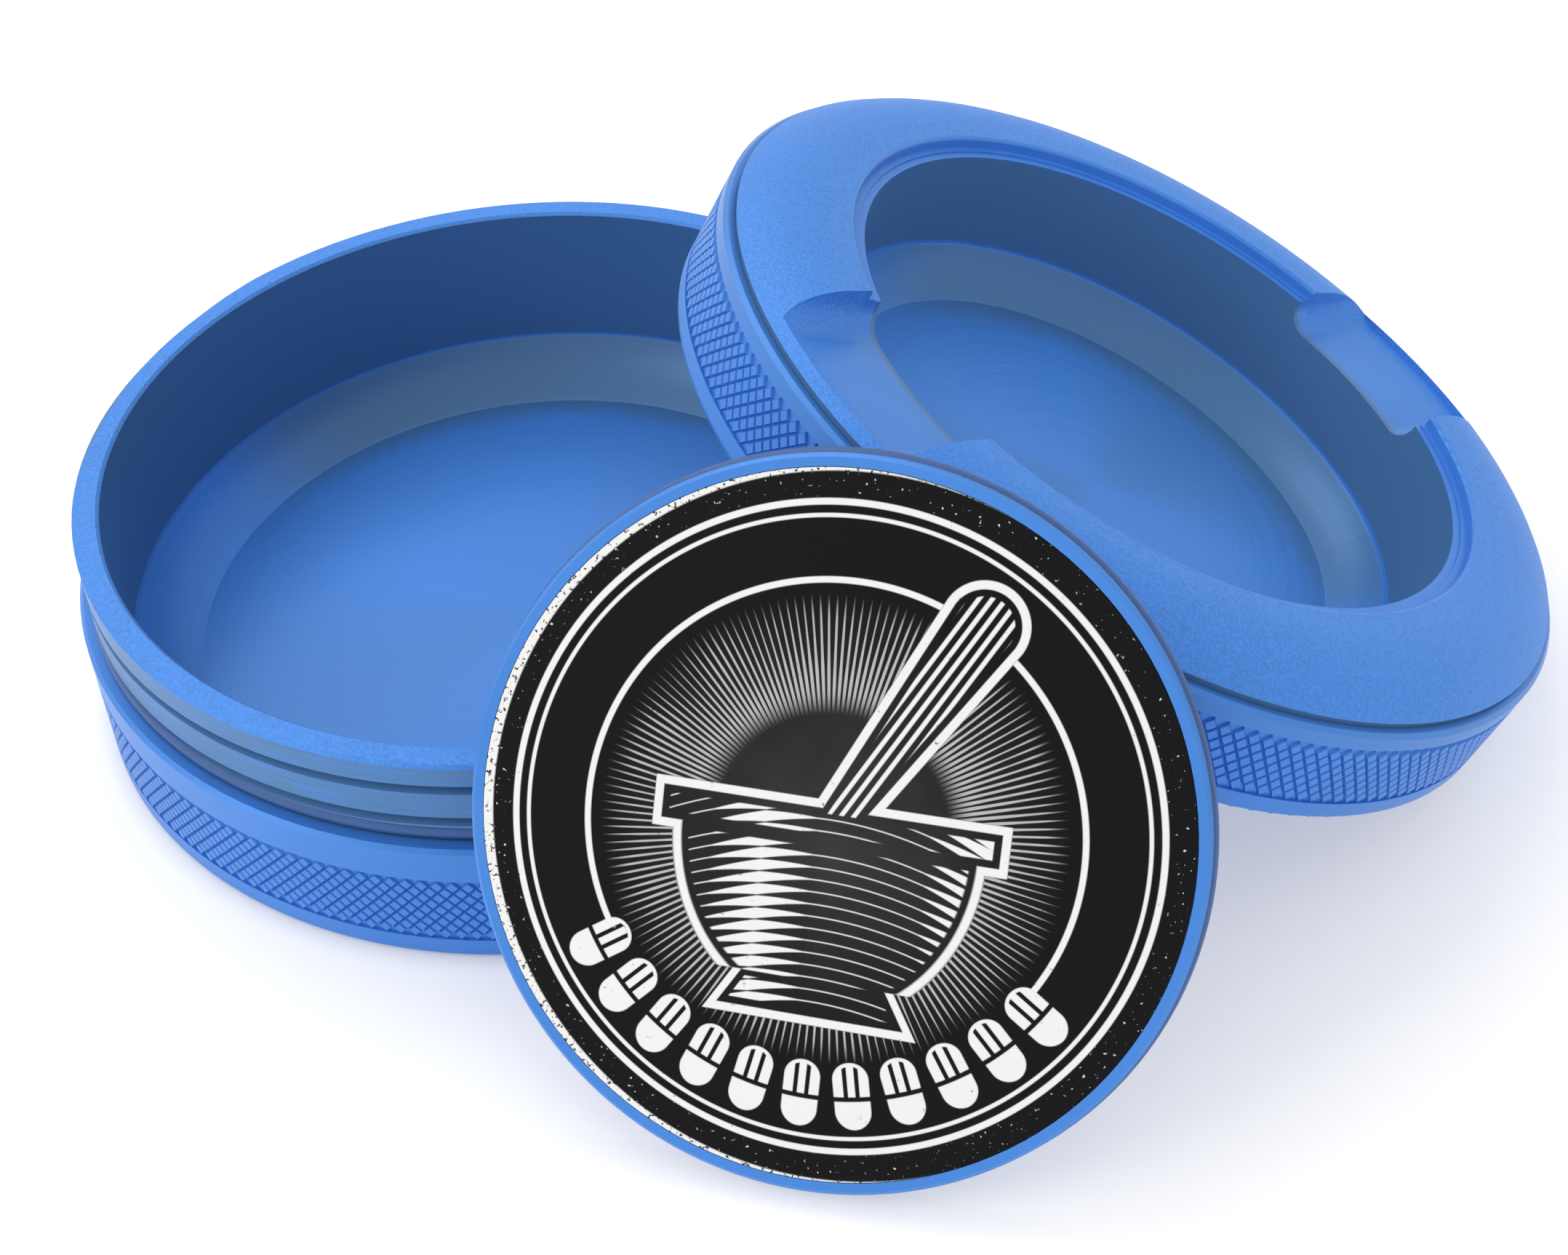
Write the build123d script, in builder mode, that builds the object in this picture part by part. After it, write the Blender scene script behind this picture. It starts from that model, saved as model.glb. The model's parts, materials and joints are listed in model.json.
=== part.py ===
# A turned aluminium pocket canister, taken apart on a table. A threaded cup stands upright. Its
# screw lid, which has a second compartment in its top, leans on the cup's rim, and the disc
# that closes the lid's compartment leans on edge in front of both.
#
# Millimetres, +Z up. The origin is the centre of the cup's underside. The lid leans towards +X,
# and the cover stands in front, towards -Y.
import os
from math import cos, radians, sin, sqrt

from build123d import *

os.makedirs("parts", exist_ok=True)

# ---- driving dimensions of the cup ----
body_radius = 35.0  # outside of cup and lid, over the tops of the knurl
cup_height = 18.6  # floor to rim
neck_height = 7.4  # shoulder to rim
neck_wall = 2.05  # at the tops of the thread
cup_floor = 1.9  # thickness of the floor
cove_height = 6.0  # where the wall turns in towards the floor
cove_width = 4.6
cove_ledge = 0.25  # small step above the cove
cove_sag = 0.45  # hollow of the cove below a straight cone
foot_groove_inset = 6.0  # ring groove turned in the underside
foot_groove_width = 1.2
foot_groove_depth = 0.3
edge_round = 0.6  # bottom outer edges
shoulder_chamfer = 0.3
rim_chamfer = 0.25
rim_spare = 2.5  # turned over length, and faced off once the thread is cut

# ---- screw joint ----
skirt_wall = 0.95
thread_depth = 0.5
thread_pitch = 3.1
groove_mouth = 0.8  # width of the cup's thread groove
groove_bottom = 0.45
ridge_root = 0.62  # width of the lid's thread ridge
ridge_crest = 0.3
thread_clearance = 0.1
cup_thread_start = 0.75  # above the shoulder, to the middle of the groove
cup_thread_heading = 118.0
lid_thread_start = 1.3
lid_thread_margin = 1.4  # between the end of the ridge and the liner
root_overlap = 0.15  # depth that a ridge is sunk into its wall
joint_gap = 0.1  # between the closed lid's skirt and the shoulder

# ---- ring in the relief at the foot of the neck ----
neck_ring_section = 1.3
neck_ring_proud = 0.12
ring_clearance = 0.03

# ---- grip bands ----
grip_depth = 0.22  # the plain band lies this far under the tops of the knurl
cup_grip_bottom = 1.9
cup_grip_margin = 3.1  # under the shoulder
lid_grip_bottom = 1.7
lid_grip_margin = 1.1  # under the chamfer of the lid's side

# ---- lid ----
lid_plate = 3.5  # from the roof over the liner to the top face
crown_inset = 0.7  # sharp outer edge of the top face, inside the body
crown_width = 6.3  # the top face falls away over this width
crown_drop = 2.4
top_groove_width = 0.5
top_groove_depth = 0.9
side_chamfer = 0.3
neck_room = 7.0  # from the cup's mouth in to the bore of the compartment
well_drop = 2.2  # the compartment's floor stands this far below the skirt
well_floor = 1.4
well_wall = 1.35
well_taper = 0.5  # the bore narrows this much towards its foot
well_cove_rise = 3.3
well_cove_width = 3.4
well_ledge = 0.25
seat_width = 1.2  # the mouth is this much larger than the bore
seat_drop = 0.8
seat_step = 0.15
seat_round = 0.3
boss_height = 0.7  # the plate's boss stands this far below the liner's roof
boss_clearance = 0.4  # between the boss and the cup's mouth

# ---- liner in the roof of the lid ----
liner_thickness = 0.5
liner_clearance = 0.05

# ---- thumb notches ----
notch_width = 15.0
notch_inset = 1.5  # from the body's outside to the notch's end
notch_inner_depth = 3.0
notch_outer_depth = 2.25
notch_corner = 2.0
notch_heading = 27.0

# ---- cover ----
cover_clearance = 0.9  # between the cover's edge and the bore
cover_thickness = 3.0
cover_back_depth = 0.9
cover_back_wall = 3.2
cover_edge_chamfer = 0.25
cover_back_chamfer = 0.4
cover_ring_section = 1.4
cover_ring_proud = 0.3
badge_border = 0.85  # metal ring round the badge
badge_depth = 0.35
badge_crown = 0.3
badge_clearance = 0.05

# ---- sizes of the cup and the screw joint that follow ----
shoulder_height = cup_height - neck_height
thread_radius = body_radius - skirt_wall - thread_clearance
groove_root = thread_radius - thread_depth
mouth_radius = thread_radius - neck_wall
floor_radius = mouth_radius - cove_width
foot_groove_radius = body_radius - foot_groove_inset
cup_thread_rise = neck_height - cup_thread_start + groove_mouth
relief_height = neck_ring_section + 2 * ring_clearance
relief_top = shoulder_height + relief_height
relief_radius = thread_radius - neck_ring_section + neck_ring_proud - ring_clearance
grip_radius = body_radius - grip_depth
cup_grip_width = shoulder_height - cup_grip_margin - cup_grip_bottom

# ---- sizes of the lid that follow ----
skirt_bore = thread_radius + thread_clearance
lid_thread_radius = groove_root + thread_clearance
liner_bottom = neck_height - joint_gap + liner_clearance
liner_roof = liner_bottom + liner_thickness + liner_clearance
lid_height = liner_roof + lid_plate
lid_thread_rise = liner_bottom - lid_thread_margin - lid_thread_start
boss_radius = mouth_radius - boss_clearance
roof_height = liner_roof - boss_height
crown_edge = body_radius - crown_inset
crown_start = crown_edge - crown_width
crown_height = lid_height - crown_drop
crown_arc = (crown_width**2 + crown_drop**2) / (2 * crown_drop)
top_groove_radius = body_radius - top_groove_depth
side_top = crown_height - top_groove_width
lid_grip_width = side_top - side_chamfer - lid_grip_margin - lid_grip_bottom
well_radius = mouth_radius - neck_room
well_outer = well_radius + well_wall
well_bottom = -well_drop
well_floor_height = well_bottom + well_floor
well_foot_radius = well_radius - well_taper
well_foot_height = well_floor_height + well_cove_rise
well_floor_radius = well_foot_radius - well_cove_width
seat_radius = well_radius + seat_width
seat_middle = well_radius + seat_width / 2
notch_reach = body_radius - notch_inset

# ---- how the lid and the cover lie ----
lid_tilt = 28.0
lid_heading = 4.5
lid_side = -7.1  # sideways from the line of the tilt
lean_gap = 0.3  # between pieces that lean on each other
cover_lean = 35.0  # back from upright
cover_heading = -16.0  # turned about the vertical, 0 faces -Y
cover_middle = 21.8  # X of the cover's middle

# ---- planes ----
lid_direction = Vector(cos(radians(lid_heading)), sin(radians(lid_heading)), 0)
lid_normal = lid_direction * sin(radians(lid_tilt)) + Vector(0, 0, cos(radians(lid_tilt)))
lid_rise = (body_radius - edge_round) * sin(radians(lid_tilt))
lid_rise += edge_round * (1 - cos(radians(lid_tilt)))
lid_reach = (cup_height - lid_rise) * cos(radians(lid_tilt)) + well_drop + lean_gap
lid_along = thread_radius - rim_chamfer + lid_reach / sin(radians(lid_tilt))
lid_across = Vector(-lid_direction.Y, lid_direction.X, 0)
lid_origin = lid_direction * lid_along + lid_across * lid_side + Vector(0, 0, lid_rise)
lid_plane = Plane(origin=lid_origin, x_dir=lid_normal.cross(lid_across) * -1, z_dir=lid_normal)
lid_axis = Axis(lid_plane.origin, lid_plane.z_dir)
lid_section = Plane(origin=lid_origin, x_dir=lid_plane.x_dir, z_dir=lid_plane.y_dir * -1)

cover_radius = well_radius - cover_clearance
face_heading = Vector(sin(radians(cover_heading)), -cos(radians(cover_heading)), 0)
cover_normal = face_heading * cos(radians(cover_lean)) + Vector(0, 0, sin(radians(cover_lean)))
cover_up = Vector(0, 0, cos(radians(cover_lean))) - face_heading * sin(radians(cover_lean))
cover_side = cover_up.cross(cover_normal)
cover_rise = cover_radius * cos(radians(cover_lean))
cover_rise += (cover_thickness - cover_back_chamfer) * sin(radians(cover_lean))
# The cover's back clears the cup's rim and the upper edge of the lid's side.
lid_edge = lid_origin + lid_normal * (side_top - side_chamfer)
lid_facing = cover_normal.dot(lid_normal)
lid_touch = cover_normal.dot(lid_edge) + body_radius * sqrt(1 - lid_facing**2)
cup_touch = (cup_height - rim_chamfer) * sin(radians(cover_lean))
cup_touch += thread_radius * cos(radians(cover_lean))
cover_front = max(lid_touch, cup_touch) + lean_gap + cover_thickness
cover_line = (cover_front - cover_rise * sin(radians(cover_lean))) / cos(radians(cover_lean))
cover_depth = (cover_middle * face_heading.X - cover_line) / -face_heading.Y
cover_origin = Vector(cover_middle, cover_depth, cover_rise)
cover_plane = Plane(origin=cover_origin, x_dir=cover_side, z_dir=cover_normal)
cover_axis = Axis(cover_plane.origin, cover_plane.z_dir)
cover_section = Plane(origin=cover_origin, x_dir=cover_plane.x_dir, z_dir=cover_plane.y_dir * -1)

# ---- cup: one turned piece, with a thread cut into its neck ----
# As on the lathe, the neck is left over length, threaded, and then faced to its height.
with BuildPart() as base_cup:
    with BuildSketch(Plane.XZ):
        with BuildLine():
            outside = Polyline(
                (0, 0),
                (foot_groove_radius - foot_groove_width, 0),
                (foot_groove_radius - foot_groove_width / 2, foot_groove_depth),
                (foot_groove_radius, 0),
                (body_radius - edge_round, 0),
            )
            bottom_edge = RadiusArc(outside @ 1, (body_radius, edge_round), -edge_round)
            wall = Polyline(
                bottom_edge @ 1,
                (body_radius, cup_grip_bottom),
                (grip_radius, cup_grip_bottom),
                (grip_radius, cup_grip_bottom + cup_grip_width),
                (body_radius, cup_grip_bottom + cup_grip_width),
                (body_radius, shoulder_height - shoulder_chamfer),
                (body_radius - shoulder_chamfer, shoulder_height),
                (relief_radius, shoulder_height),
                (relief_radius, relief_top),
                (thread_radius, relief_top),
                (thread_radius, cup_height + rim_spare),
                (mouth_radius, cup_height + rim_spare),
                (mouth_radius, cove_height),
                (mouth_radius - cove_ledge, cove_height),
            )
            cove_middle = (
                (mouth_radius - cove_ledge + floor_radius) / 2 + cove_sag * 0.7,
                (cove_height + cup_floor) / 2 - cove_sag * 0.7,
            )
            cove = ThreePointArc(wall @ 1, cove_middle, (floor_radius, cup_floor))
            Polyline(cove @ 1, (0, cup_floor), (0, 0))
        make_face()
    revolve(axis=Axis.Z)

# The thread is a groove. It starts in the relief and runs out through the rim. The cutter's flanks
# go on past the neck's outside, so that no edge of it lies on that face.
groove_flare = (groove_mouth - groove_bottom) / 2 * root_overlap / thread_depth
with BuildPart() as cup_thread:
    with BuildLine():
        cup_helix = Helix(pitch=thread_pitch, height=cup_thread_rise, radius=groove_root)
    with BuildSketch(Plane(origin=cup_helix @ 0, x_dir=(1, 0, 0), z_dir=cup_helix % 0)):
        with BuildLine():
            Polyline(
                (0, -groove_bottom / 2),
                (thread_depth + root_overlap, -groove_mouth / 2 - groove_flare),
                (thread_depth + root_overlap, groove_mouth / 2 + groove_flare),
                (0, groove_bottom / 2),
                close=True,
            )
        make_face()
    sweep(path=cup_helix, is_frenet=True)

# The facing cut takes the spare length off and leaves both edges of the rim chamfered.
with BuildPart() as rim_facing:
    with BuildSketch(Plane.XZ):
        with BuildLine():
            Polyline(
                (mouth_radius - rim_chamfer, cup_height - 2 * rim_chamfer),
                (mouth_radius + rim_chamfer, cup_height),
                (thread_radius - rim_chamfer, cup_height),
                (thread_radius + rim_chamfer, cup_height - 2 * rim_chamfer),
                (thread_radius + rim_chamfer, cup_height + rim_spare + rim_chamfer),
                (mouth_radius - rim_chamfer, cup_height + rim_spare + rim_chamfer),
                close=True,
            )
        make_face()
    revolve(axis=Axis.Z)

with base_cup:
    with Locations(Location((0, 0, shoulder_height + cup_thread_start), (0, 0, cup_thread_heading))):
        add(cup_thread.part, mode=Mode.SUBTRACT)
    add(rim_facing.part, mode=Mode.SUBTRACT)
base_cup.part.label = "base_cup"
export_step(base_cup.part, "parts/base_cup.step")

# ---- rubber ring in the relief at the foot of the neck ----
with BuildPart() as neck_o_ring:
    with BuildSketch(Plane.XZ):
        with Locations((relief_radius + ring_clearance + neck_ring_section / 2, shoulder_height + relief_height / 2)):
            Circle(neck_ring_section / 2)
    revolve(axis=Axis.Z)
neck_o_ring.part.label = "neck_o_ring"
export_step(neck_o_ring.part, "parts/neck_o_ring.step")

# ---- lid: skirt, top plate with the mouth of the compartment, and the compartment's well ----
with BuildPart() as lid_body:
    with BuildSketch(lid_section):
        with BuildLine():
            floor_line = Polyline(
                (0, well_floor_height),
                (well_floor_radius, well_floor_height),
            )
            lid_cove_middle = (
                (well_foot_radius - well_ledge + well_floor_radius) / 2 + cove_sag * 0.6,
                (well_foot_height + well_floor_height) / 2 - cove_sag * 0.6,
            )
            lid_cove = ThreePointArc(
                floor_line @ 1, lid_cove_middle, (well_foot_radius - well_ledge, well_foot_height)
            )
            seat = Polyline(
                lid_cove @ 1,
                (well_foot_radius, well_foot_height),
                (well_radius, lid_height - seat_drop - seat_step),
                (seat_middle, lid_height - seat_drop - seat_step),
                (seat_middle, lid_height - seat_drop),
                (seat_radius, lid_height - seat_drop),
                (seat_radius, lid_height - seat_round),
            )
            mouth_edge = RadiusArc(seat @ 1, (seat_radius + seat_round, lid_height), seat_round)
            plate = Line(mouth_edge @ 1, (crown_start, lid_height))
            crown_fall = RadiusArc(plate @ 1, (crown_edge, crown_height), crown_arc)
            skirt = Polyline(
                crown_fall @ 1,
                (top_groove_radius, crown_height),
                (top_groove_radius, side_top),
                (body_radius - side_chamfer, side_top),
                (body_radius, side_top - side_chamfer),
                (body_radius, lid_grip_bottom + lid_grip_width),
                (grip_radius, lid_grip_bottom + lid_grip_width),
                (grip_radius, lid_grip_bottom),
                (body_radius, lid_grip_bottom),
                (body_radius, edge_round),
            )
            skirt_edge = RadiusArc(skirt @ 1, (body_radius - edge_round, 0), edge_round)
            Polyline(
                skirt_edge @ 1,
                (skirt_bore, 0),
                (skirt_bore, liner_roof),
                (boss_radius, liner_roof),
                (boss_radius, roof_height),
                (well_outer, roof_height),
                (well_outer, well_floor_height),
                (well_outer - well_floor, well_bottom),
                (0, well_bottom),
                (0, well_floor_height),
            )
        make_face()
    revolve(axis=lid_axis)

# The skirt's own thread stands inwards. It is made upright and set into the skirt.
with BuildPart() as lid_thread:
    with BuildLine():
        lid_helix = Helix(pitch=thread_pitch, height=lid_thread_rise, radius=skirt_bore)
    with BuildSketch(Plane(origin=lid_helix @ 0, x_dir=(1, 0, 0), z_dir=lid_helix % 0)):
        with BuildLine():
            Polyline(
                (root_overlap, -ridge_root / 2),
                (0, -ridge_root / 2),
                (lid_thread_radius - skirt_bore, -ridge_crest / 2),
                (lid_thread_radius - skirt_bore, ridge_crest / 2),
                (0, ridge_root / 2),
                (root_overlap, ridge_root / 2),
                close=True,
            )
        make_face()
    sweep(path=lid_helix, is_frenet=True)

# A notch is a slot with parallel sides and a rounded end. Its floor slopes up towards the end and
# is rounded along both sides.
notch_slope = (notch_inner_depth - notch_outer_depth) / (notch_reach - well_radius)
with BuildPart() as notch:
    with BuildSketch(Plane.XY.offset(lid_height + notch_corner)):
        with Locations((notch_reach / 2, 0)):
            Rectangle(notch_reach, notch_width)
        Circle(notch_reach, mode=Mode.INTERSECT)
    extrude(amount=-lid_height)
    split(
        bisect_by=Plane(
            origin=(well_radius, 0, lid_height - notch_inner_depth),
            x_dir=(0, 1, 0),
            z_dir=(-notch_slope, 0, 1),
        ),
        keep=Keep.TOP,
    )
    floor_sides = notch.faces().sort_by(Axis.Z)[0].edges().sort_by(Axis.Y)
    fillet([floor_sides[0], floor_sides[-1]], notch_corner)

with lid_body:
    with Locations(lid_plane.offset(lid_thread_start).location):
        add(lid_thread.part)
    for turn in (notch_heading, notch_heading + 180):
        with Locations(lid_plane.location * Location((0, 0, 0), (0, 0, turn))):
            add(notch.part, mode=Mode.SUBTRACT)
lid_body.part.label = "lid_body"
export_step(lid_body.part, "parts/lid_body.step")

# ---- flat liner that lies in the roof of the lid's skirt ----
with BuildPart() as lid_liner:
    with BuildSketch(lid_plane.offset(liner_bottom)):
        Circle(skirt_bore - liner_clearance)
        Circle(boss_radius + liner_clearance, mode=Mode.SUBTRACT)
    extrude(amount=liner_thickness)
lid_liner.part.label = "lid_liner"
export_step(lid_liner.part, "parts/lid_liner.step")

# ---- cover: a turned disc with a groove round its edge and a shallow bed for the badge ----
badge_radius = cover_radius - badge_border
groove_width = cover_ring_section + 2 * ring_clearance
groove_radius = cover_radius - cover_ring_section + cover_ring_proud - ring_clearance
groove_middle = -(cover_thickness + cover_edge_chamfer) / 2
with BuildPart() as cover_disc:
    with BuildSketch(cover_section):
        with BuildLine():
            Polyline(
                (0, -badge_depth),
                (badge_radius, -badge_depth),
                (badge_radius, 0),
                (cover_radius - cover_edge_chamfer, 0),
                (cover_radius, -cover_edge_chamfer),
                (cover_radius, groove_middle + groove_width / 2),
                (groove_radius, groove_middle + groove_width / 2),
                (groove_radius, groove_middle - groove_width / 2),
                (cover_radius, groove_middle - groove_width / 2),
                (cover_radius, -cover_thickness + cover_back_chamfer),
                (cover_radius - cover_back_chamfer, -cover_thickness),
                (cover_radius - cover_back_wall, -cover_thickness),
                (cover_radius - cover_back_wall, -cover_thickness + cover_back_depth),
                (0, -cover_thickness + cover_back_depth),
                close=True,
            )
        make_face()
    revolve(axis=cover_axis)
cover_disc.part.label = "cover_disc"
export_step(cover_disc.part, "parts/cover_disc.step")

# ---- rubber ring round the cover's edge ----
with BuildPart() as cover_o_ring:
    with BuildSketch(cover_section):
        with Locations((groove_radius + ring_clearance + cover_ring_section / 2, groove_middle)):
            Circle(cover_ring_section / 2)
    revolve(axis=cover_axis)
cover_o_ring.part.label = "cover_o_ring"
export_step(cover_o_ring.part, "parts/cover_o_ring.step")

# ---- printed badge, slightly crowned ----
with BuildPart() as cover_badge:
    with BuildSketch(cover_section):
        with BuildLine():
            badge_edge = Polyline(
                (0, -badge_depth),
                (badge_radius - badge_clearance, -badge_depth),
                (badge_radius - badge_clearance, 0),
            )
            crown_sphere = ((badge_radius - badge_clearance) ** 2 + badge_crown**2) / (2 * badge_crown)
            crown = RadiusArc(badge_edge @ 1, (0, badge_crown), -crown_sphere)
            Line(crown @ 1, badge_edge @ 0)
        make_face()
    revolve(axis=cover_axis)
cover_badge.part.label = "cover_badge"
export_step(cover_badge.part, "parts/cover_badge.step")
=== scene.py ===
# A blue anodised pocket canister lying open: a threaded cup, a screw lid with a compartment of its
# own leaning on the cup's rim, and the printed cover of that compartment leaning in front.
import json
import math
import bpy
from mathutils import Matrix, Vector


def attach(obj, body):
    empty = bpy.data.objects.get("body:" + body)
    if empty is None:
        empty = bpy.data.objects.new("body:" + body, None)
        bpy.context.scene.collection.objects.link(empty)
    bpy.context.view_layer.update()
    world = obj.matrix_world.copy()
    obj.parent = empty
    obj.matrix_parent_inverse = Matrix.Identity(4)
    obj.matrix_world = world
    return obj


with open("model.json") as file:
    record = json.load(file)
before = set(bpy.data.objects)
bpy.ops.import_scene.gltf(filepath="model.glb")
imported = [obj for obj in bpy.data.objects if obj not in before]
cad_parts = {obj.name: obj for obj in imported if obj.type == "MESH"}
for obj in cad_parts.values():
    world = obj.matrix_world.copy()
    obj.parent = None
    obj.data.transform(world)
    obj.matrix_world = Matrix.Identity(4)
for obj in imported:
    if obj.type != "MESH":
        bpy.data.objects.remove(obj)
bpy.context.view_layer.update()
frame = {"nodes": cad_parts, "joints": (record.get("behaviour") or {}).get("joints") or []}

# ---- studio: a plain white floor, two wide soft lights, a pale room ----
# The camera stands low in front, looking down on the open canister.
MM = 0.001
scene = bpy.context.scene
scene.view_settings.view_transform = "Standard"


class Sock:
    """A number, colour or vector on its way through a material's nodes."""

    def __init__(self, tree, socket=None):
        self.tree = tree
        self.socket = socket

    def make(self, kind, settings=None, values=None, out=0):
        new = self.tree.nodes.new("ShaderNode" + kind)
        for key, value in (settings or {}).items():
            setattr(new, key, value)
        for key, value in (values or {}).items():
            if isinstance(value, Sock):
                self.tree.links.new(value.socket, new.inputs[key])
            else:
                new.inputs[key].default_value = value
        return Sock(self.tree, new.outputs[out])

    def math(self, operation, other=0.0, swap=False):
        pair = {0: other, 1: self} if swap else {0: self, 1: other}
        return self.make("Math", {"operation": operation}, pair)

    def __add__(self, other):
        return self.math("ADD", other)

    __radd__ = __add__

    def __sub__(self, other):
        return self.math("SUBTRACT", other)

    def __rsub__(self, other):
        return self.math("SUBTRACT", other, swap=True)

    def __mul__(self, other):
        return self.math("MULTIPLY", other)

    __rmul__ = __mul__

    def __truediv__(self, other):
        return self.math("DIVIDE", other)

    def __pow__(self, other):
        return self.math("POWER", other)

    def larger(self, other):
        return self.math("MAXIMUM", other)

    def smaller(self, other):
        return self.math("MINIMUM", other)

    def size(self):
        return self.math("ABSOLUTE")

    def to_and_fro(self):
        """A wave of straight flanks between 0 and 0.5, one for each whole number."""
        return self.math("PINGPONG", 0.5)

    def above(self, edge, soft=0.05):
        limits = {"Value": self, "From Min": edge - soft, "From Max": edge + soft}
        return self.make("MapRange", {"interpolation_type": "SMOOTHSTEP"}, limits)

    def within(self, low, high, soft=0.05):
        return self.above(low, soft) * (1 - self.above(high, soft))

    def tint(self, other, amount):
        values = {0: amount, 6: self, 7: other}
        return self.make("Mix", {"data_type": "RGBA"}, values, out=2)

    def between(self, low, high):
        """The colour this far from low to high."""
        values = {0: self, 6: low, 7: high}
        return self.make("Mix", {"data_type": "RGBA"}, values, out=2)

    def coordinate(self, index):
        return self.make("SeparateXYZ", None, {0: self}, out=index)

    def noise(self, scale, detail):
        return self.make("TexNoise", None, {"Vector": self, "Scale": scale, "Detail": detail})

    def bump(self, strength):
        values = {"Strength": strength, "Distance": MM, "Height": self}
        return self.make("Bump", None, values)


def new_finish(name):
    finish = bpy.data.materials.new(name)
    finish.use_nodes = True
    return finish, finish.node_tree, finish.node_tree.nodes["Principled BSDF"]


def plug(tree, shader, name, value):
    tree.links.new(value.socket, shader.inputs[name])


FLOOR_SIZE = 6
PAPER_GREY, PAPER_WHITE = (0.70, 0.70, 0.70, 1), (0.74, 0.74, 0.74, 1)
bpy.ops.object.select_all(action="DESELECT")
bpy.ops.mesh.primitive_plane_add(size=FLOOR_SIZE, location=(0, 0, 0))
floor = bpy.context.object
floor.name = "studio_floor"
floor_paper, tree, shader = new_finish("floor_paper")
place = Sock(tree).make("TexCoord", out=3)
fibre = place.noise(scale=900.0, detail=2.0)
plug(tree, shader, "Base Color", fibre.between(PAPER_GREY, PAPER_WHITE))
# The paper glows a little, so that it is white. Under the cup the glow is turned down, which paints
# a shadow round the cup's foot.
CUP_FOOTPRINT = 35.0 * MM
distance = place.make("VectorMath", {"operation": "LENGTH"}, {0: place}, out=1)
outside_painted_cup_shadow = (distance * (1 / CUP_FOOTPRINT)).above(1.0, 0.05)
plug(tree, shader, "Emission Color", outside_painted_cup_shadow.between((0.12, 0.12, 0.12, 1), (1, 1, 1, 1)))
shader.inputs["Emission Strength"].default_value = 0.38
shader.inputs["Roughness"].default_value = 0.85
shader.inputs["Specular IOR Level"].default_value = 0.1
floor.data.materials.append(floor_paper)

room = bpy.data.worlds.new("pale_room")
room.use_nodes = True
room.node_tree.nodes["Background"].inputs["Color"].default_value = (1, 1, 1, 1)
room.node_tree.nodes["Background"].inputs["Strength"].default_value = 0.86
scene.world = room

LIGHTS_MEET = Vector((0.015, -0.01, 0.01))
for name, place, size, power in (
    ("softbox_back", (-0.16, 0.30, 0.55), 0.45, 1.0),
    ("softbox_left", (-0.50, -0.22, 0.40), 0.35, 0.9),
):
    lamp = bpy.data.lights.new(name, "AREA")
    lamp.energy = power
    lamp.size = size
    light = bpy.data.objects.new(name, lamp)
    light.location = place
    aim = LIGHTS_MEET - Vector(place)
    light.rotation_euler = aim.to_track_quat("-Z", "Y").to_euler()
    scene.collection.objects.link(light)

# The camera's downward angle and its roll are in radians.
elevation, roll = 0.750, 0.054
camera_place = Vector((19.60, -152.0, 139.86)) * MM
sensor_width = 36
frame_width, focal_length = 2156, 3472.8  # in one and the same unit
look = Vector((0, math.cos(elevation), -math.sin(elevation)))
right = Vector((1, 0, 0))
down = look.cross(right)
image_right = right * math.cos(roll) + down * math.sin(roll)
image_down = down * math.cos(roll) - right * math.sin(roll)
lens = bpy.data.cameras.new("camera")
lens.sensor_width = sensor_width
lens.lens = sensor_width * focal_length / frame_width
lens.clip_start = 0.01
camera = bpy.data.objects.new("camera", lens)
turn = Matrix((image_right, -image_down, -look)).transposed()
camera.matrix_world = Matrix.Translation(camera_place) @ turn.to_4x4()
scene.collection.objects.link(camera)
scene.camera = camera


# ---- cup: turned from one bar of aluminium, with a spun floor, blasted rim and cut thread ----
# It is anodised blue. The imported shape stays. Its finish goes by height and radius, as the lathe
# left it. Shade is painted in navy on its inner wall, the back of its cove and floor, its relief
# and its thread's groove.
def local_mm(tree, pose):
    """Object coordinates in a part's own upright frame, in millimetres."""
    place = Sock(tree).make("TexCoord", out=3)
    return place.make(
        "Mapping",
        {"vector_type": "TEXTURE"},
        {
            "Vector": place,
            "Location": pose.translation,
            "Rotation": pose.to_euler(),
            "Scale": (MM, MM, MM),
        },
    )


BLUE = (0.050, 0.205, 0.600, 1)
PALE_BLUE = (0.068, 0.270, 0.790, 1)
NAVY = (0.074, 0.190, 0.372, 1)


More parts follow.
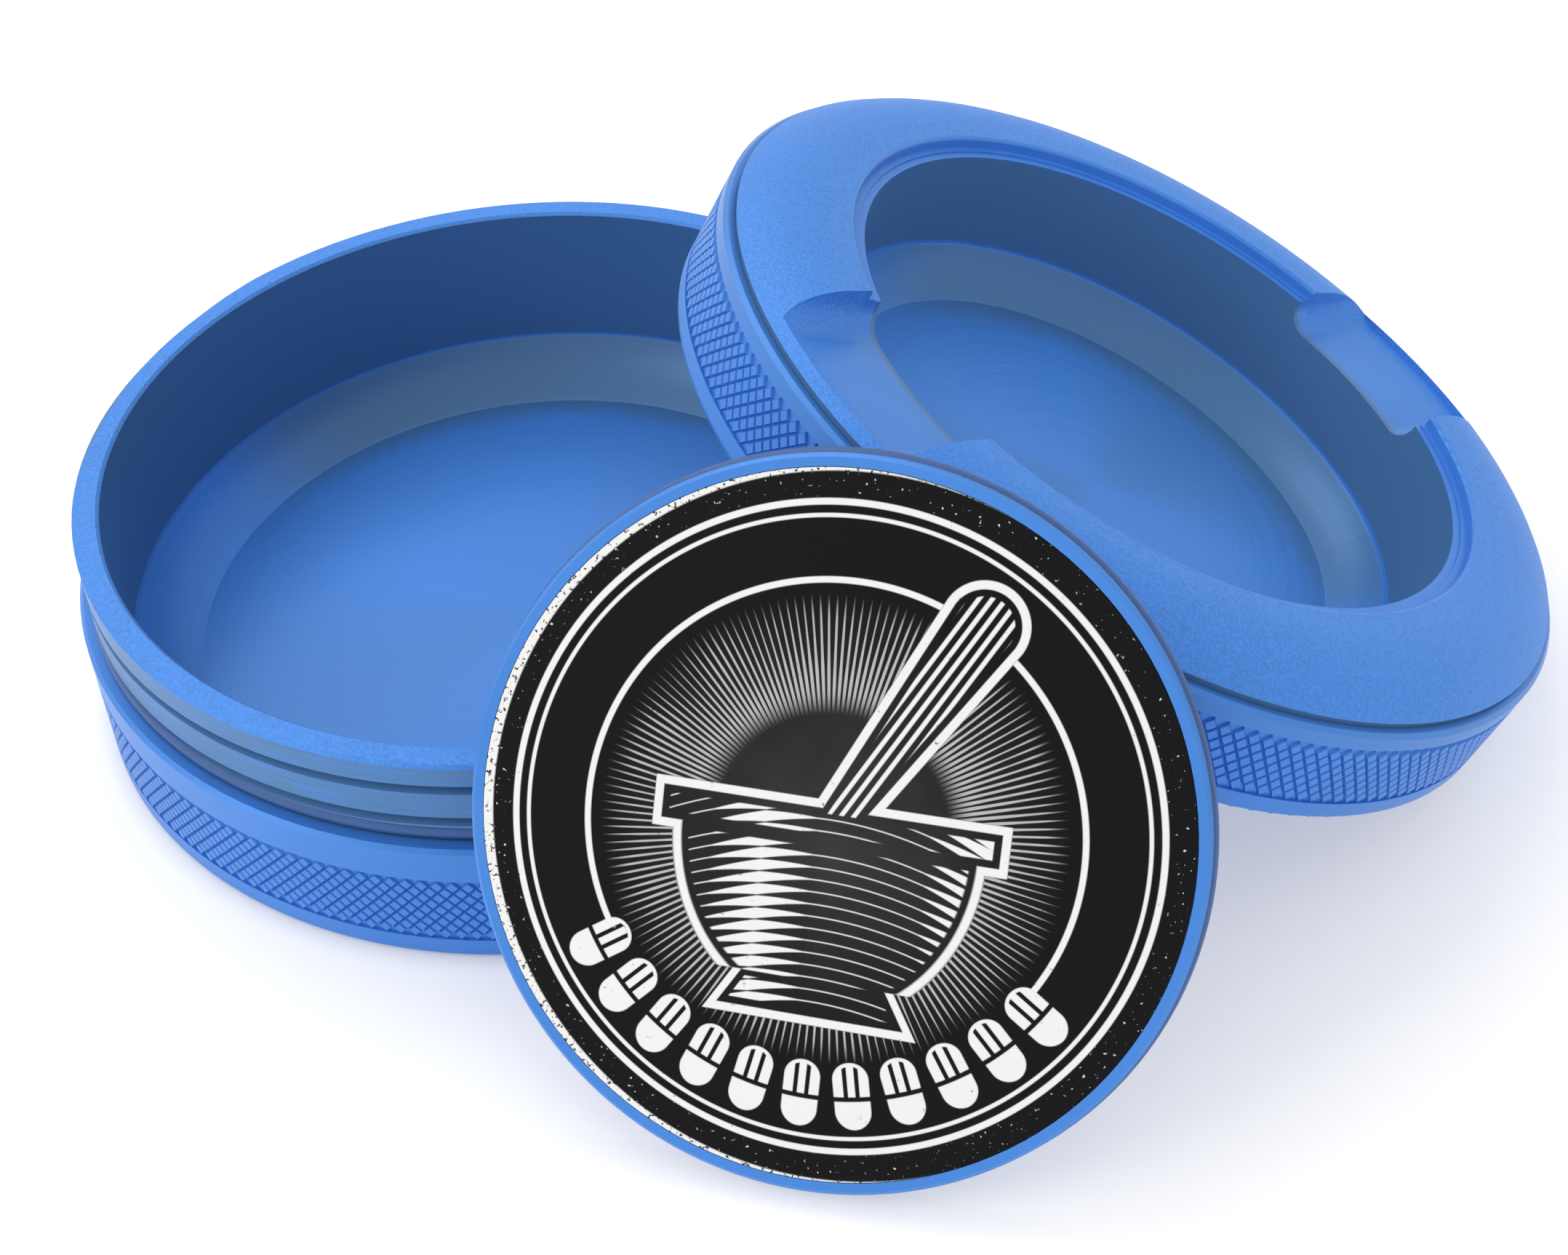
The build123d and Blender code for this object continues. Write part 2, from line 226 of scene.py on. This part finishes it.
def anodise(name, pose, painted_shade_and_mottle, spun, blasted, streaked):
    """Blue anodise in a part's own frame. The first of the last four says where navy is laid:
    painted shade on cup and lid, and a random mottle on the cover. Each of the other three says
    where one finish lies.
    """
    finish, tree, shader = new_finish(name)
    place = local_mm(tree, pose)
    x, y, z = (place.coordinate(index) for index in range(3))
    r = (x * x + y * y) ** 0.5
    turned, grain, streak = spun(r, z), blasted(r, z), streaked(r, z)

    # Turning marks follow the radius, streaks follow the height, and blasting leaves pits.
    ridges = place.make("CombineXYZ", None, {0: r, 1: z * 0.3, 2: 0.0}).noise(5.0, 3.0)
    lines = place.make("CombineXYZ", None, {0: x * 0.06, 1: y * 0.06, 2: z * 1.6}).noise(3.0, 4.0)
    pits = place.noise(4.6, 1.0)
    mottle = place.noise(0.9, 4.0)
    cloud = place.noise(0.05, 2.0)
    # Painted sheen: spun faces are darkened by sector round the axis, standing in for the spun
    # metal's reflection.
    sheen_sector = (x * y * 2 + (x * x - y * y) * 0.4) / (r * r + 4.0)

    colour = cloud.between(BLUE, PALE_BLUE)
    bright_mark = turned * (0.35 + (ridges - 0.5) * 1.4 + (pits - 0.5) * 0.5)
    painted_sheen_shade = (turned * (sheen_sector * 0.20 + 0.04)).larger(0.0)
    bright_grain = ((pits - 0.42) * grain * 4.5).larger(0.0).smaller(1.0)
    dark_grain = ((0.45 - pits) * grain * 2.4).larger(0.0).smaller(0.4)
    dark_streak = (((lines - 0.5) * 2.2 + 0.78) * streak).larger(0.0).smaller(1.0)
    colour = colour.tint(PALE_BLUE, bright_mark).tint(NAVY, painted_sheen_shade)
    colour = colour.tint(PALE_BLUE, bright_grain).tint(NAVY, dark_grain).tint(NAVY, dark_streak)
    # Painted shade in navy wherever the part's mask lays it; on the cover this is only a random
    # mottle.
    colour = colour.tint(NAVY, painted_shade_and_mottle(x, y, r, z, mottle - 0.5).smaller(1.0))
    plug(tree, shader, "Base Color", colour)
    plug(tree, shader, "Roughness", 0.38 + grain * 0.14 + (ridges - 0.5) * turned * 0.15)
    height = ridges * turned * 0.010 + pits * (0.005 + grain * 0.05) + lines * streak * 0.03
    plug(tree, shader, "Normal", height.bump(0.8))
    shader.inputs["Metallic"].default_value = 0.22
    shader.inputs["Specular IOR Level"].default_value = 0.35
    return finish


def band(r, z, limits):
    """One on the faces between two radii and two heights, and nothing elsewhere."""
    radii, heights = limits
    return r.within(*radii) * z.within(*heights)


# Each band has its inner and outer radius, then its lowest and highest point, in millimetres.
CUP_WALL = (31.7, 32.2), (6.05, 18.4)
CUP_COVE = (27.2, 31.68), (1.95, 5.97)
CUP_RELIEF = (32.4, 33.88), (11.1, 12.55)
CUP_GROOVE = (33.3, 33.88), (12.5, 18.3)
CUP_INSIDE = 31.6, (1.0, 5.9)
CUP_NECK = 33.9, (12.5, 18.3)
CUP_FLOOR = 1.0, 1.97


def cup_painted_shade(x, y, r, z, mottle):
    """Painted shade in navy: the inner wall, the shaded side of the cove and of the floor, the
    relief and the thread's groove.
    """
    back = x * 0.34 + y * 0.94
    cove = band(r, z, CUP_COVE) * (back + mottle * 6.0).above(9.0, 8.0)
    edge = (r + mottle * 2.2).above(25.9, 1.7) * z.within(*CUP_FLOOR) * back.above(9.0, 12.0)
    painted_shade_and_mottle = band(r, z, CUP_WALL).larger(cove).larger(edge * 0.9)
    return painted_shade_and_mottle.larger(band(r, z, CUP_RELIEF)).larger(band(r, z, CUP_GROOVE))


upright = Matrix.Identity(4)
cup_finish = anodise(
    "cup_anodise",
    upright,
    painted_shade_and_mottle=cup_painted_shade,
    spun=lambda r, z: (1 - r.above(CUP_INSIDE[0])) * z.within(*CUP_INSIDE[1]),
    blasted=lambda r, z: z.above(18.3, 0.1),
    streaked=lambda r, z: r.above(CUP_NECK[0], 0.03) * z.within(*CUP_NECK[1]) * 0.9,
)
frame["nodes"]["base_cup"].data.materials[0] = cup_finish

# ---- lid: turned with its compartment in one piece, the thumb notches milled into the top ----
# Its top is bead-blasted, the compartment's floor is spun, the bore's wall is left smooth.
turns = {joint["name"]: joint for joint in frame["joints"]}


def part_pose(joint_name):
    """A turned part's own frame: Z along its axis, X down its slope."""
    joint = turns[joint_name]
    axis = Vector(joint["axis"]).normalized()
    across = Vector((0, 0, 1)).cross(axis).normalized()
    pose = Matrix((across.cross(axis), across, axis)).transposed().to_4x4()
    return Matrix.Translation(Vector(joint["pos_m"])) @ pose


LID_BORE = (24.2, 25.2), (2.6, 10.4)
LID_COVE = (20.9, 24.12), (-0.78, 2.45)
LID_TOP_GROOVE = (34.02, 34.25), (8.45, 9.02)
LID_FLOOR = -1.6, -0.77
LID_INSIDE = 24.1, (-1.6, 2.4)
LID_SEAT_EDGE, LID_CROWN_FOOT = 26.4, 9.0
LID_SIDE_BAND = 7.15, 8.5


def lid_painted_shade(x, y, r, z, mottle):
    """Painted shade in navy: the bore, the shaded side of the compartment's foot and of its floor,
    and the groove under the top's edge.
    """
    back = x * 0.55 + y * 0.83
    cove = band(r, z, LID_COVE) * (back + mottle * 5.0).above(4.0, 8.0)
    edge = (r + mottle * 3.0).above(18.9, 1.8) * z.within(*LID_FLOOR) * back.above(6.0, 9.0)
    painted_shade_and_mottle = band(r, z, LID_BORE).larger(cove * 0.85).larger(edge * 0.85)
    return painted_shade_and_mottle.larger(band(r, z, LID_TOP_GROOVE))


lid_pose = part_pose("lid_turn")
lid_finish = anodise(
    "lid_anodise",
    lid_pose,
    painted_shade_and_mottle=lid_painted_shade,
    spun=lambda r, z: (1 - r.above(LID_INSIDE[0])) * z.within(*LID_INSIDE[1]) * 1.7,
    blasted=lambda r, z: z.above(LID_CROWN_FOOT, 0.1) * r.above(LID_SEAT_EDGE),
    streaked=lambda r, z: z.within(*LID_SIDE_BAND) * 0.25,
)
frame["nodes"]["lid_body"].data.materials[0] = lid_finish

# ---- knurled grips: rolled into the bands of cup and lid, flat-topped diamonds in V grooves ----
# Each diamond is the same small block, repeated up the band and round it.
KNURL_ROOT, KNURL_TOP = 34.76 * MM, 35.0 * MM
KNURL_COUNT = 196
DIAMOND_FILL = 0.985  # the share of its pitch that a diamond's foot takes
DIAMOND_TOP = 0.74  # its flat top beside its foot


def knurl(name, body, pose, finish, bottom, rows, row_height):
    pitch = 2 * math.pi / KNURL_COUNT
    half_width = DIAMOND_FILL * math.sin(pitch / 2) * KNURL_TOP
    half_height = DIAMOND_FILL * row_height * MM / 2
    tiles = []
    for stagger in (0, 1):
        bpy.ops.object.select_all(action="DESELECT")
        middle = bottom * MM + (1 + stagger) * row_height * MM / 2
        bpy.ops.mesh.primitive_cone_add(
            vertices=4,
            radius1=1,
            radius2=DIAMOND_TOP,
            depth=KNURL_TOP - KNURL_ROOT,
            rotation=(0, math.pi / 2, 0),
            location=((KNURL_ROOT + KNURL_TOP) / 2, 0, middle),
        )
        tile = bpy.context.object
        tile.scale = (half_height, half_width, 1)
        bpy.ops.object.transform_apply(location=True, rotation=True, scale=True)
        rise = tile.modifiers.new("rise", "ARRAY")
        rise.use_relative_offset = False
        rise.use_constant_offset = True
        rise.constant_offset_displace = (0, 0, row_height * MM)
        rise.count = rows - stagger
        bpy.ops.object.modifier_apply(modifier="rise")
        tile.rotation_euler = (0, 0, stagger * pitch / 2)
        bpy.ops.object.transform_apply(rotation=True)
        tiles.append(tile)
    bpy.ops.object.select_all(action="DESELECT")
    for tile in tiles:
        tile.select_set(True)
    bpy.context.view_layer.objects.active = tiles[0]
    bpy.ops.object.join()
    grip = bpy.context.object
    grip.name = name
    hub = bpy.data.objects.new(name + "_hub", None)
    hub.rotation_euler = (0, 0, pitch)
    scene.collection.objects.link(hub)
    ring = grip.modifiers.new("ring", "ARRAY")
    ring.use_relative_offset = False
    ring.use_object_offset = True
    ring.offset_object = hub
    ring.count = KNURL_COUNT
    bpy.context.view_layer.update()
    bpy.ops.object.modifier_apply(modifier="ring")
    bpy.data.objects.remove(hub)
    grip.matrix_world = pose
    bpy.ops.object.transform_apply(location=True, rotation=True, scale=True)
    grip.data.materials.append(finish)
    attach(grip, body)


knurl("cup_knurl", "cup", upright, cup_finish, bottom=1.9, rows=5, row_height=1.24)
knurl("lid_knurl", "lid", lid_pose, lid_finish, bottom=1.7, rows=4, row_height=1.325)

# ---- cover: a turned disc of the same blue aluminium, with a bed for its badge ----
# Its back is spun. Its edge is left as turned.
COVER_BACK = -2.5
COVER_EDGE = 23.8, (-3.0, -0.2)
cover_pose = part_pose("cover_turn")
cover_finish = anodise(
    "cover_anodise",
    cover_pose,
    painted_shade_and_mottle=lambda x, y, r, z, mottle: mottle.larger(0.0) * 0.2,
    spun=lambda r, z: 1 - z.above(COVER_BACK, 0.2),
    blasted=lambda r, z: z * 0.0,
    streaked=lambda r, z: r.above(COVER_EDGE[0]) * z.within(*COVER_EDGE[1]) * 0.3,
)
frame["nodes"]["cover_disc"].data.materials[0] = cover_finish

# ---- seals: two rings and a liner of dark blue silicone ----
# They are moulded, and have a faint dusty bloom.
SILICONE_DARK, SILICONE_LIGHT = (0.020, 0.075, 0.24, 1), (0.034, 0.115, 0.34, 1)
rubber, tree, shader = new_finish("blue_silicone")
place = local_mm(tree, upright)
bloom = place.noise(0.6, 4.0)
fine = place.noise(9.0, 2.0)
plug(tree, shader, "Base Color", bloom.between(SILICONE_DARK, SILICONE_LIGHT))
plug(tree, shader, "Roughness", 0.34 + bloom * 0.2)
plug(tree, shader, "Normal", (fine * 0.01).bump(0.4))
for node in ("neck_o_ring", "lid_liner", "cover_o_ring"):
    frame["nodes"][node].data.materials[0] = rubber

# ---- badge: a thin printed dome under clear gloss, black with white line work ----
# The print is a made-up pharmacy mark: double rings, a burst of rays, a mortar with its pestle, and
# a row of capsules along the bottom, all a little worn.
BLACK, CHARCOAL = (0.004, 0.004, 0.005, 1), (0.036, 0.036, 0.04, 1)
INK_WHITE = (0.84, 0.835, 0.82, 1)
face = cover_pose.col[2].to_3d()
badge_up = Vector((0, 0, 1)) - face * face.z
badge_up.normalize()
badge_pose = Matrix((badge_up.cross(face), badge_up, face)).transposed().to_4x4()
badge_pose = Matrix.Translation(cover_pose.translation) @ badge_pose
print_finish, tree, shader = new_finish("printed_badge_finish")
place = local_mm(tree, badge_pose)
u, v = place.coordinate(0), place.coordinate(1)
DESIGN_OFFSET = 0.15
r = ((u - DESIGN_OFFSET) ** 2 + v * v) ** 0.5
wear_values = {"Vector": place, "Scale": 1.6, "Detail": 6.0, "Roughness": 0.8}
wear = place.make("TexNoise", None, wear_values)
specks = place.noise(3.4, 3.0)
blotch = place.noise(0.22, 2.0)
whole = 1 - wear.above(0.66, 0.02)

# Rings, by their inner and outer radius. The inner one is open at the bottom.
OUTER_RING, MIDDLE_RING, INNER_RING = (20.78, 21.2), (20.0, 20.26), (15.9, 16.3)
INNER_RING_END = -8.4
rings = r.within(*OUTER_RING).larger(r.within(*MIDDLE_RING))
rings = rings.larger(r.within(*INNER_RING) * v.above(INNER_RING_END, 0.2))

# The burst: rays round the figure, thinning outwards.
RAYS = 170
BURST_START, BURST_LENGTH = 9.0, 6.0
spoke = (u.math("ARCTAN2", v) * (RAYS / (2 * math.pi))).to_and_fro() * 2
reach = (r - BURST_START) / BURST_LENGTH
rays = 1 - (spoke - 0.55 + reach * 0.45 + (blotch - 0.5) * 0.6).above(0.0, 0.12)
rays = rays * r.within(8.4, 14.4, 0.9)

BOWL_HALF_WIDTH, BOWL_DEPTH, BOWL_TOP, BOWL_BOTTOM = 9.6, 11.2, -0.6, -9.8
RIM_HALF_WIDTH, RIM_BOTTOM, RIM_TOP = 11.0, -0.7, 1.5
FOOT_HALF_WIDTH, FOOT_BOTTOM, FOOT_TOP = 4.6, -12.2, -9.7


def mortar(grow):
    """The mortar's outline, grown by so many millimetres."""
    across = (u / (BOWL_HALF_WIDTH + grow)) ** 2
    upward = ((v - BOWL_TOP) / (BOWL_DEPTH + grow)) ** 2
    bowl = (1 - (across + upward).above(1.0, 0.02)) * v.within(BOWL_BOTTOM, BOWL_TOP + grow)
    rim = (1 - u.size().above(RIM_HALF_WIDTH + grow)) * v.within(RIM_BOTTOM - grow, RIM_TOP + grow)
    splay = (v + 9.6) * -0.6
    foot = 1 - (u.size() - splay).above(FOOT_HALF_WIDTH + grow)
    foot = foot * v.within(FOOT_BOTTOM - grow, FOOT_TOP + grow)
    return bowl.larger(rim).larger(foot)


PESTLE_U, PESTLE_V = 0.5, 0.866  # the way it leans
PESTLE_LENGTH, PESTLE_RADIUS, PESTLE_SWELL = 16.6, 1.15, 0.07


def pestle(grow):
    """The pestle stands in the mortar and leans to the right, thicker towards its end."""
    along = (u * PESTLE_U + v * PESTLE_V).larger(0.0).smaller(PESTLE_LENGTH)
    off = ((u - along * PESTLE_U) ** 2 + (v - along * PESTLE_V) ** 2) ** 0.5
    stick = 1 - (off - along * PESTLE_SWELL).above(PESTLE_RADIUS + grow)
    return stick * v.above(1.4 + grow * 0.5)


# A white outline goes round both, and hatching fills them.
OUTLINE = 0.55
whole_mark = mortar(OUTLINE).larger(pestle(OUTLINE))
outline = whole_mark * (1 - mortar(0.0).larger(pestle(0.0)))
line = ((v + u * u * 0.022) * 1.25).to_and_fro() * 2
sheen = (1 - (u + 4.2).size() * 0.27).larger((u - 6.0) * 0.26).larger(0.10)
hatch = (1 - (line - sheen * 0.9).above(0.0, 0.12)) * mortar(-0.5)
hatch = hatch * (1 - v.within(-0.75, -0.35))
grain_line = ((u * PESTLE_V - v * PESTLE_U) * 1.5).to_and_fro() * 2
hatch = hatch.larger((1 - grain_line.above(0.42, 0.14)) * pestle(-0.45))

# The capsules: eleven along the bottom, each with a dark joint and a hatched half.
CAPSULE_STEP = 11.2  # degrees
CAPSULE_RADIUS, CAPSULE_HALF_LENGTH, CAPSULE_ROW = 1.18, 1.05, 17.3
turn_down = u.math("ARCTAN2", v * -1.0) * (180 / math.pi)
cell = (turn_down / CAPSULE_STEP).math("ROUND")
side = (turn_down - cell * CAPSULE_STEP) * (math.pi / 180) * r
beyond = ((r - CAPSULE_ROW).size() - CAPSULE_HALF_LENGTH).larger(0.0)
bulge = (side ** 2 + beyond ** 2) ** 0.5
dark_joint = 1 - (r - 17.5).size().above(0.16)
dark_lines = (side * 1.3).to_and_fro().above(0.31, 0.05)
dark_lines = dark_lines * (1 - r.above(17.4)) * (1 - bulge.above(0.95))
capsules = (1 - bulge.above(CAPSULE_RADIUS)) * (1 - dark_joint) * (1 - dark_lines)
capsules = capsules * (1 - turn_down.size().above(61.0, 0.5))

# The print's own edge is a little off centre, so that white shows along the left.
EDGE_OFFSET, EDGE_RADIUS = 0.5, 22.95
ink = (rings * (1 - whole_mark)).larger(capsules).larger(outline).larger(hatch) * whole
ink = ink.larger(rays * (1 - whole_mark) * 0.55 * whole)
rim_print = (((u - EDGE_OFFSET) ** 2 + v * v) ** 0.5).above(EDGE_RADIUS, 0.07)
rim_print = rim_print * (1 - specks.above(0.6, 0.03))
flecks = specks.above(0.69, 0.02) * r.above(21.3, 0.8) * 0.8
ink = ink.larger(rim_print).larger(flecks)
middle_glow = (1 - r / 15.0).larger(0.0) * (0.4 + blotch)
print_colour = middle_glow.between(BLACK, CHARCOAL).tint(INK_WHITE, ink)
plug(tree, shader, "Base Color", print_colour)
plug(tree, shader, "Roughness", 0.42 + (wear - 0.5) * 0.12)
plug(tree, shader, "Normal", (ink * 0.03).bump(0.25))
shader.inputs["Specular IOR Level"].default_value = 0.12
frame["nodes"]["cover_badge"].data.materials[0] = print_finish
